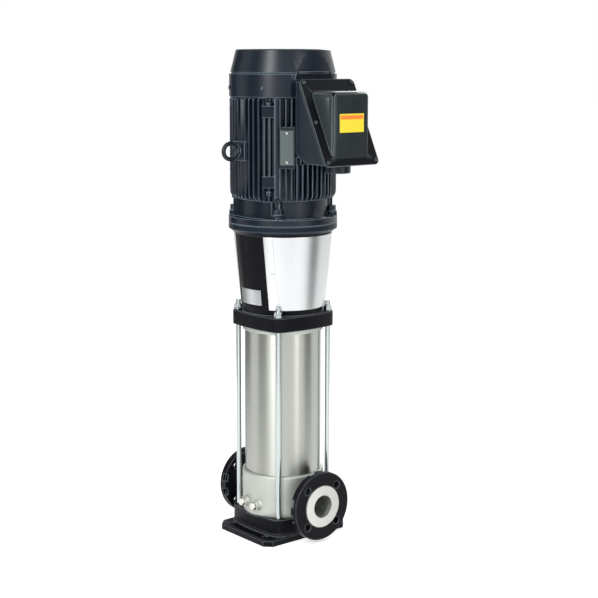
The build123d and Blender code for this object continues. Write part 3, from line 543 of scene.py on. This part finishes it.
def hexagon_head(radius, height):
    """Hexagon with its top corners turned away, and a slightly dished top."""
    return [(radius, 0, 1), (radius, 0.82 * height, 1), (0.93 * radius, 0.94 * height, 0.55),
            (0.84 * radius, height, 0), (0.7 * radius, 0.985 * height, 0)]


# %% [markdown]
# Geometry Nodes put one copy of a part on each point, turned along the direction stored there.
# The tree ends by making the copies real and giving them their finish, and its result becomes a plain mesh.

# %% Geometry Nodes: a part on every point
scatter = bpy.data.node_groups.new("Part On Points", "GeometryNodeTree")
inputs = (("Points", "NodeSocketGeometry"), ("Part", "NodeSocketObject"), ("Finish", "NodeSocketMaterial"),
          ("Size", "NodeSocketFloat"))
for label, kind in inputs:
    scatter.interface.new_socket(label, in_out="INPUT", socket_type=kind)
scatter.interface.new_socket("Mesh", in_out="OUTPUT", socket_type="NodeSocketGeometry")
source, result = scatter.nodes.new("NodeGroupInput").outputs, scatter.nodes.new("NodeGroupOutput").inputs
part_in = add(scatter, "GeometryNodeObjectInfo", Object=source["Part"])
way = add(scatter, "GeometryNodeInputNamedAttribute", data_type="FLOAT_VECTOR", Name="way")
aim = add(scatter, "FunctionNodeAlignRotationToVector", axis="Z", Vector=way.outputs[0])
copies = add(scatter, "GeometryNodeInstanceOnPoints", Points=source["Points"],
             Instance=part_in.outputs["Geometry"], Rotation=aim.outputs[0], Scale=source["Size"])
real = add(scatter, "GeometryNodeRealizeInstances", Geometry=copies.outputs[0])
coloured = add(scatter, "GeometryNodeSetMaterial", Geometry=real.outputs[0], Material=source["Finish"])
scatter.links.new(coloured.outputs[0], result["Mesh"])
sockets = {item.name: item.identifier for item in scatter.interface.items_tree if item.in_out == "INPUT"}
print("tree:", scatter.name, sorted(sockets))


def on_points(name, part, places, like, node=None):
    """One mesh with a copy of part at each (point, direction); like is a node of the same finish and body."""
    mesh = bpy.data.meshes.new(name)
    mesh.from_pydata([tuple(point) for point, _ in places], [], [])
    ways = mesh.attributes.new("way", "FLOAT_VECTOR", "POINT")
    for index, (_, direction) in enumerate(places):
        ways.data[index].vector = direction
    piece = bpy.data.objects.new(name, mesh)
    bpy.context.scene.collection.objects.link(piece)
    spread = piece.modifiers.new("copies", "NODES")
    spread.node_group = scatter
    spread[sockets["Part"]] = part
    spread[sockets["Finish"]] = finishes[slot_of[like]]
    spread[sockets["Size"]] = 1.0
    whole = piece.evaluated_get(bpy.context.evaluated_depsgraph_get())
    piece.data = bpy.data.meshes.new_from_object(whole)
    piece.modifiers.clear()
    bpy.data.objects.remove(part)
    print(name, len(places), "copies,", len(piece.data.polygons), "faces")
    return settle(piece, like, node)


# %% [markdown]
# The frame already holds each fastener, so their places are read from it.
# The points of one solid hang together, and its head is its far end along the way it was driven from.


# %% Helper: where the heads of a node's fasteners sit
def solids_of(name):
    """The points of each separate solid of a node, in the order of its mesh."""
    shape = merged_mesh(name)
    left, groups = dict.fromkeys(shape.verts), []
    while left:
        first = next(iter(left))
        del left[first]
        queue, group = [first], []
        while queue:
            vert = queue.pop()
            group.append(vert.co.copy())
            for edge in vert.link_edges:
                other = edge.other_vert(vert)
                if other in left:
                    del left[other]
                    queue.append(other)
        groups.append(group)
    shape.free()
    return groups


def head_places(name, height, direction=None, sunk=0.0):
    """(seat, direction) for each solid; without a direction they point away from the shaft."""
    places = []
    for points in solids_of(name):
        middle = sum(points, Vector()) / len(points)
        away = direction or Vector((middle.x, middle.y, 0)).normalized()
        across = middle - away * middle.dot(away)
        if direction is None:
            across = Vector((0, 0, (min(p.z for p in points) + max(p.z for p in points)) / 2))
        far = max(point.dot(away) for point in points)
        places.append((across + away * (far - height - sunk), away))
    return places


# %% [markdown]
# Every head on the pump is one row of a table: its rings, its node, its height and the way it looks.
# A way of None means straight out from the shaft, as for the screws round the cowl and the guards.

# %% Put the fasteners on
box_head, cowl_head, guard_head = (5.0 * mm, 4.0 * mm), (5.0 * mm, 2.5 * mm), (4.0 * mm, 2.0 * mm)
rod_nut, plug, bolt_head = (10.1 * mm, 10.0 * mm), (9.7 * mm, 8.0 * mm), (10.7 * mm, 12.0 * mm)
washer_radius, washer_height, guard_sink = 11.2 * mm, 2.0 * mm, 1.2 * mm
bolt = [(washer_radius, 0, 0), (washer_radius, 0.8 * washer_height, 0), (bolt_head[0], washer_height, 0)]
bolt += [(radius, height + washer_height, hexness) for radius, height, hexness in hexagon_head(*bolt_head)]
front = Vector((0, -1, 0))
heads = [  # name, part, rings, node, height, way out, how far sunk
    ("box_screws", "box screw", socket_screw(*box_head), "terminal_box_screws", box_head[1], lid_way, 0.0),
    ("cowl_screw_heads", "cowl screw", socket_screw(*cowl_head), "cowl_screws", cowl_head[1], None, 0.0),
    ("guard_screw_heads", "guard screw", socket_screw(*guard_head), "guard_screws", guard_head[1], None,
     guard_sink),
    ("tie_rod_nuts_turned", "rod nut", hexagon_head(*rod_nut), "tie_rod_nuts", rod_nut[1], up, 0.0),
    ("drain_plug_heads", "plug", hexagon_head(*plug), "drain_plugs", plug[1], front, 0.0),
    ("flange_bolt_heads", "flange bolt", bolt, "motor_flange_bolts", bolt_head[1] + washer_height, up, 0.0)]
for name, part, rings, node, height, way, sunk in heads:
    on_points(name, turned_part(part, rings), head_places(node, height, way, sunk), node, node)

# %% [markdown]
# The tie rods are threaded where they come through their nuts.
# A thread of 1.75 mm pitch reads as a stack of fine rings, so rings it is: far fewer faces than a helix.

# %% Threads on the rod ends
pitch, core, crest, rod_chamfer = 1.75 * mm, 5.2 * mm, 6.02 * mm, 1.2 * mm
rod_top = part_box("tie_rods")[1].z
nut_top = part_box("tie_rod_nuts")[1].z
ridge = [(core, -0.4 * pitch, 0), (crest, -0.06 * pitch, 0), (crest, 0.06 * pitch, 0), (core, 0.4 * pitch, 0)]
turns = int((rod_top - rod_chamfer - nut_top) / pitch)
threads = [(Vector((point.x, point.y, nut_top + (turn + 0.6) * pitch)), up)
           for point, _ in head_places("tie_rod_nuts", 0.0, up) for turn in range(turns)]
on_points("rod_threads", turned_part("thread ridge", ridge), threads, "tie_rods")

# %% [markdown]
# Each port neck is welded into the casing, and the bead follows the saddle where two cylinders meet.
# The curve has a formula, so its points are worked out and a small drop of weld is put on each.

# %% Weld beads at the two necks
casing_radius, neck_radius, drop_count = 98.5 * mm, 31.0 * mm, 72
outward, sideways = 0.6, 0.8
drops = []
for side in (-1, 1):
    for step in range(drop_count):
        angle = 2 * pi * step / drop_count
        y, z = neck_radius * cos(angle), neck_radius * sin(angle)
        point = Vector((side * sqrt(casing_radius ** 2 - y * y), y, port_height + z))
        drops.append((point, Vector((side * outward, sideways * cos(angle), sideways * sin(angle)))))
drop = [(1.0 * mm, -1.2 * mm, 0), (2.1 * mm, -0.6 * mm, 0), (2.3 * mm, 0.2 * mm, 0), (1.7 * mm, 1.1 * mm, 0),
        (0.8 * mm, 1.5 * mm, 0)]
on_points("neck_welds", turned_part("weld drop", drop, steps=10), drops, "inlet_outlet_casing")

# %% [markdown]
# The canopy keeps rain out of the fan, and air gets in through the gap under its rim.
# A dark ring stands on the cowl in that gap as painted shade, so no daylight shows through it and the gap
# reads dark.

# %% Ring of painted shade under the canopy
cowl_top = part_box("fan_cowl")[1].z
gap, shade_ring_radius, wall = 5.5 * mm, 120.5 * mm, 3.0 * mm
rings = [(shade_ring_radius, 0, 0), (shade_ring_radius, gap, 0), (shade_ring_radius - wall, gap, 0), (shade_ring_radius - wall, 0, 0)]
# A closed ring in the cowl's dark paint stands in for the shade inside the air gap.
ring = turned_part("canopy_gap_ring", rings, steps=96, hollow=True)
ring.data.transform(Matrix.Translation((0, 0, cowl_top)))
settle(ring, "fan_cowl")

# %% [markdown]
# The background is white, as in a catalogue picture.
# The world is plain white for the camera and for reflections, and dimmer as a light.
# So the picture stays bright, and the pump still gets its shape from the lamps.

# %% World
scene = bpy.context.scene
as_light = 0.55
world = bpy.data.worlds.new("studio")
scene.world = world
world.use_nodes = True
tree = world.node_tree
tree.nodes.clear()
path = add(tree, "ShaderNodeLightPath").outputs
seen = math(tree, "MAXIMUM", path["Is Camera Ray"],
            math(tree, "MAXIMUM", path["Is Glossy Ray"], path["Is Transmission Ray"]))
strength = math(tree, "ADD", as_light, math(tree, "MULTIPLY", seen, 1.0 - as_light))
sky = add(tree, "ShaderNodeBackground", Color=(1.0, 1.0, 1.0, 1.0), Strength=strength)
add(tree, "ShaderNodeOutputWorld", Surface=sky.outputs[0])
print("world:", world.name)

# %% [markdown]
# The stage is made of flat sheets: a floor here, and cards further down.


# %% Helper: flat sheet of the stage
def sheet(name, corners, material, camera=True):
    """Flat four-cornered piece of the stage; without camera it shows in reflections alone."""
    mesh = bpy.data.meshes.new(name)
    mesh.from_pydata(corners, [], [(0, 1, 2, 3)])
    mesh.materials.append(material)
    made = bpy.data.objects.new(name, mesh)
    scene.collection.objects.link(made)
    made.visible_camera = camera
    if not camera:
        made.visible_diffuse = made.visible_shadow = made.visible_transmission = False


# %% [markdown]
# The pump stands on a matt white floor that takes a soft shadow.
# The floor glows a little for the camera, so that it meets the background without a horizon.

# %% Floor
floor_glow, floor_half = 0.50, 30
white = bpy.data.materials.new("floor white")
white.use_nodes = True
tree = white.node_tree
shader = tree.nodes["Principled BSDF"]
shader.inputs["Base Color"].default_value = (0.86, 0.86, 0.86, 1.0)
shader.inputs["Roughness"].default_value = 0.9
path = add(tree, "ShaderNodeLightPath").outputs
glow = math(tree, "MULTIPLY", math(tree, "MAXIMUM", path["Is Camera Ray"], path["Is Glossy Ray"]), floor_glow)
shader.inputs["Emission Color"].default_value = (1.0, 1.0, 1.0, 1.0)
tree.links.new(glow, shader.inputs["Emission Strength"])
corners = [(x * floor_half, y * floor_half, cad_low.z) for x, y in ((-1, -1), (1, -1), (1, 1), (-1, 1))]
sheet("floor", corners, white)
print("floor at", round(cad_low.z, 4))

# %% [markdown]
# Polished steel in an all-white room would look like paper.
# Dark cards at both sides are what its dark upright bands reflect, just as in a studio.

# %% Dark cards that only reflections see
card = bpy.data.materials.new("dark card")
card.use_nodes = True
shader = card.node_tree.nodes["Principled BSDF"]
shader.inputs["Base Color"].default_value = (0.02, 0.02, 0.022, 1.0)
shader.inputs["Roughness"].default_value = 1.0
view_turn = radians(50.72)


def upright_card(name, angle, distance, half, low=-0.2, high=2.4):
    """Vertical card facing the shaft, at an angle from the camera's side."""
    turn = view_turn + radians(angle)
    centre = Vector((sin(turn), -cos(turn), 0)) * distance
    side = Vector((cos(turn), sin(turn), 0)) * half
    corners = [centre - side + up * low, centre + side + up * low, centre + side + up * high,
               centre - side + up * high]
    sheet(name, [tuple(corner) for corner in corners], card, camera=False)


cards = [("card left", -62, 1.6, 0.42), ("card right", 78, 1.5, 0.35), ("card far left", -128, 1.8, 0.6)]
for name, angle, distance, half in cards:
    upright_card(name, angle, distance, half)
print("dark cards:", len(cards))


# %% [markdown]
# Three soft lamps light the pump: a tall narrow key from the left, a fill from the right, a rim from behind.
# The key is narrow because its reflection is the bright upright line on the motor's paint.

# %% Lamps
aim_point = Vector((0, 0, 0.6))


def lamp(name, angle, distance, height, size, power):
    """Soft rectangular lamp at an angle from the camera's side, aimed at the middle of the pump."""
    turn = view_turn + radians(angle)
    place = Vector((sin(turn) * distance, -cos(turn) * distance, height))
    light = bpy.data.lights.new(name, "AREA")
    light.shape, light.size, light.size_y, light.energy = "RECTANGLE", size[0], size[1], power
    made = bpy.data.objects.new(name, light)
    made.location = place
    made.rotation_euler = (aim_point - place).to_track_quat("-Z", "Y").to_euler()
    scene.collection.objects.link(made)


lamps = [("key", -30, 2.6, 2.0, (0.42, 1.9), 66.0), ("fill", 42, 2.8, 1.6, (0.4, 2.0), 22.0),
         ("rim", 160, 2.4, 2.2, (1.2, 1.2), 30.0)]
for row in lamps:
    lamp(*row)
print("lamps:", len(lamps))

# %% [markdown]
# The camera stands a little above the motor and looks down on the pump through a long lens.
# Its small sideways shift keeps the pump left of the middle, as it was framed.

# %% Camera
camera_distance, camera_height, pitch_down = 3.2039, 1.1292, radians(9.92)
lens = bpy.data.cameras.new("camera")
lens.lens, lens.sensor_width, lens.shift_x, lens.clip_end = 81.85, 36.0, 0.0269, 100.0
camera = bpy.data.objects.new("camera", lens)
camera.location = (sin(view_turn) * camera_distance, -cos(view_turn) * camera_distance, camera_height)
camera.rotation_euler = (pi / 2 - pitch_down, 0, view_turn)
scene.collection.objects.link(camera)
scene.camera = camera
scene.view_settings.view_transform = "Standard"
print("camera", [round(part, 3) for part in camera.location])
